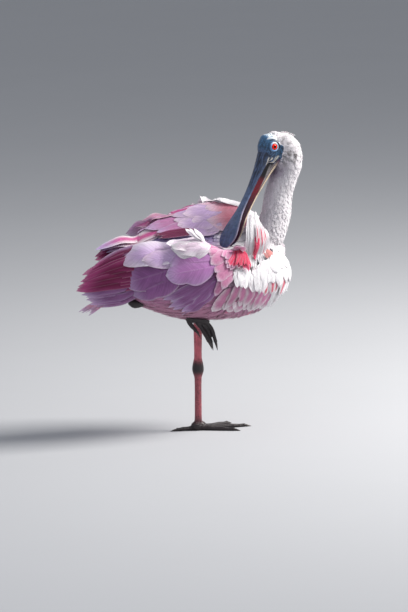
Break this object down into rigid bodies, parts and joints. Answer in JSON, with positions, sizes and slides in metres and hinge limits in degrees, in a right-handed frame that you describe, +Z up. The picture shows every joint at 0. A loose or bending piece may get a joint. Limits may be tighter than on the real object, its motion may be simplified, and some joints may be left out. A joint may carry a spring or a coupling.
{
  "type": "roseate spoonbill",
  "caption": "Life-size still model of a roseate spoonbill that stands on one leg with its head turned back, preening its shoulder.",
  "frame": {"origin": "on the floor, on the flat sole of the standing foot, under the middle of its leg", "axes": "+X the way the body faces, +Y the bird's left, +Z up"},
  "size_m": [0.4051, 0.1635, 0.5067],
  "materials": {
    "pink_plumage": "soft vanes, pink with pale edges",
    "white_plumage": "soft white plumage with a pink cast",
    "carmine_plumage": "smooth carmine to magenta vanes",
    "orange_plumage": "soft salmon orange vanes",
    "bill_horn": "ridged horn, half matt",
    "eye": "wet gloss",
    "leg_skin": "scaled skin, half matt",
    "foot_skin": "scaled dark skin, half matt",
    "claw_horn": "smooth dark horn"
  },
  "bodies": {
    "root": {"trunk": "pink_plumage", "neck": "white_plumage", "head": "white_plumage", "bill_upper": "bill_horn", "bill_lower": "bill_horn", "eye_left": "eye", "eye_right": "eye", "wing_left": "pink_plumage", "wing_right": "pink_plumage", "primaries_left": "carmine_plumage", "primaries_right": "carmine_plumage", "tertials_left": "carmine_plumage", "tertials_right": "pink_plumage", "shoulder_left": "white_plumage", "shoulder_right": "white_plumage", "tail": "orange_plumage", "thigh_left": "pink_plumage", "thigh_right": "pink_plumage", "tibia_left": "leg_skin", "ankle_left": "foot_skin", "tarsus_left": "leg_skin", "foot_left": "foot_skin", "ankle_right": "foot_skin", "foot_right": "foot_skin", "toe_inner_left": "foot_skin", "toe_middle_left": "foot_skin", "toe_outer_left": "foot_skin", "toe_hind_left": "foot_skin", "toe_inner_right": "foot_skin", "toe_middle_right": "foot_skin", "toe_outer_right": "foot_skin", "toe_hind_right": "foot_skin", "claw_inner_left": "claw_horn", "claw_middle_left": "claw_horn", "claw_outer_left": "claw_horn", "claw_hind_left": "claw_horn", "claw_inner_right": "claw_horn", "claw_middle_right": "claw_horn", "claw_outer_right": "claw_horn", "claw_hind_right": "claw_horn"}
  },
  "joints": []
}
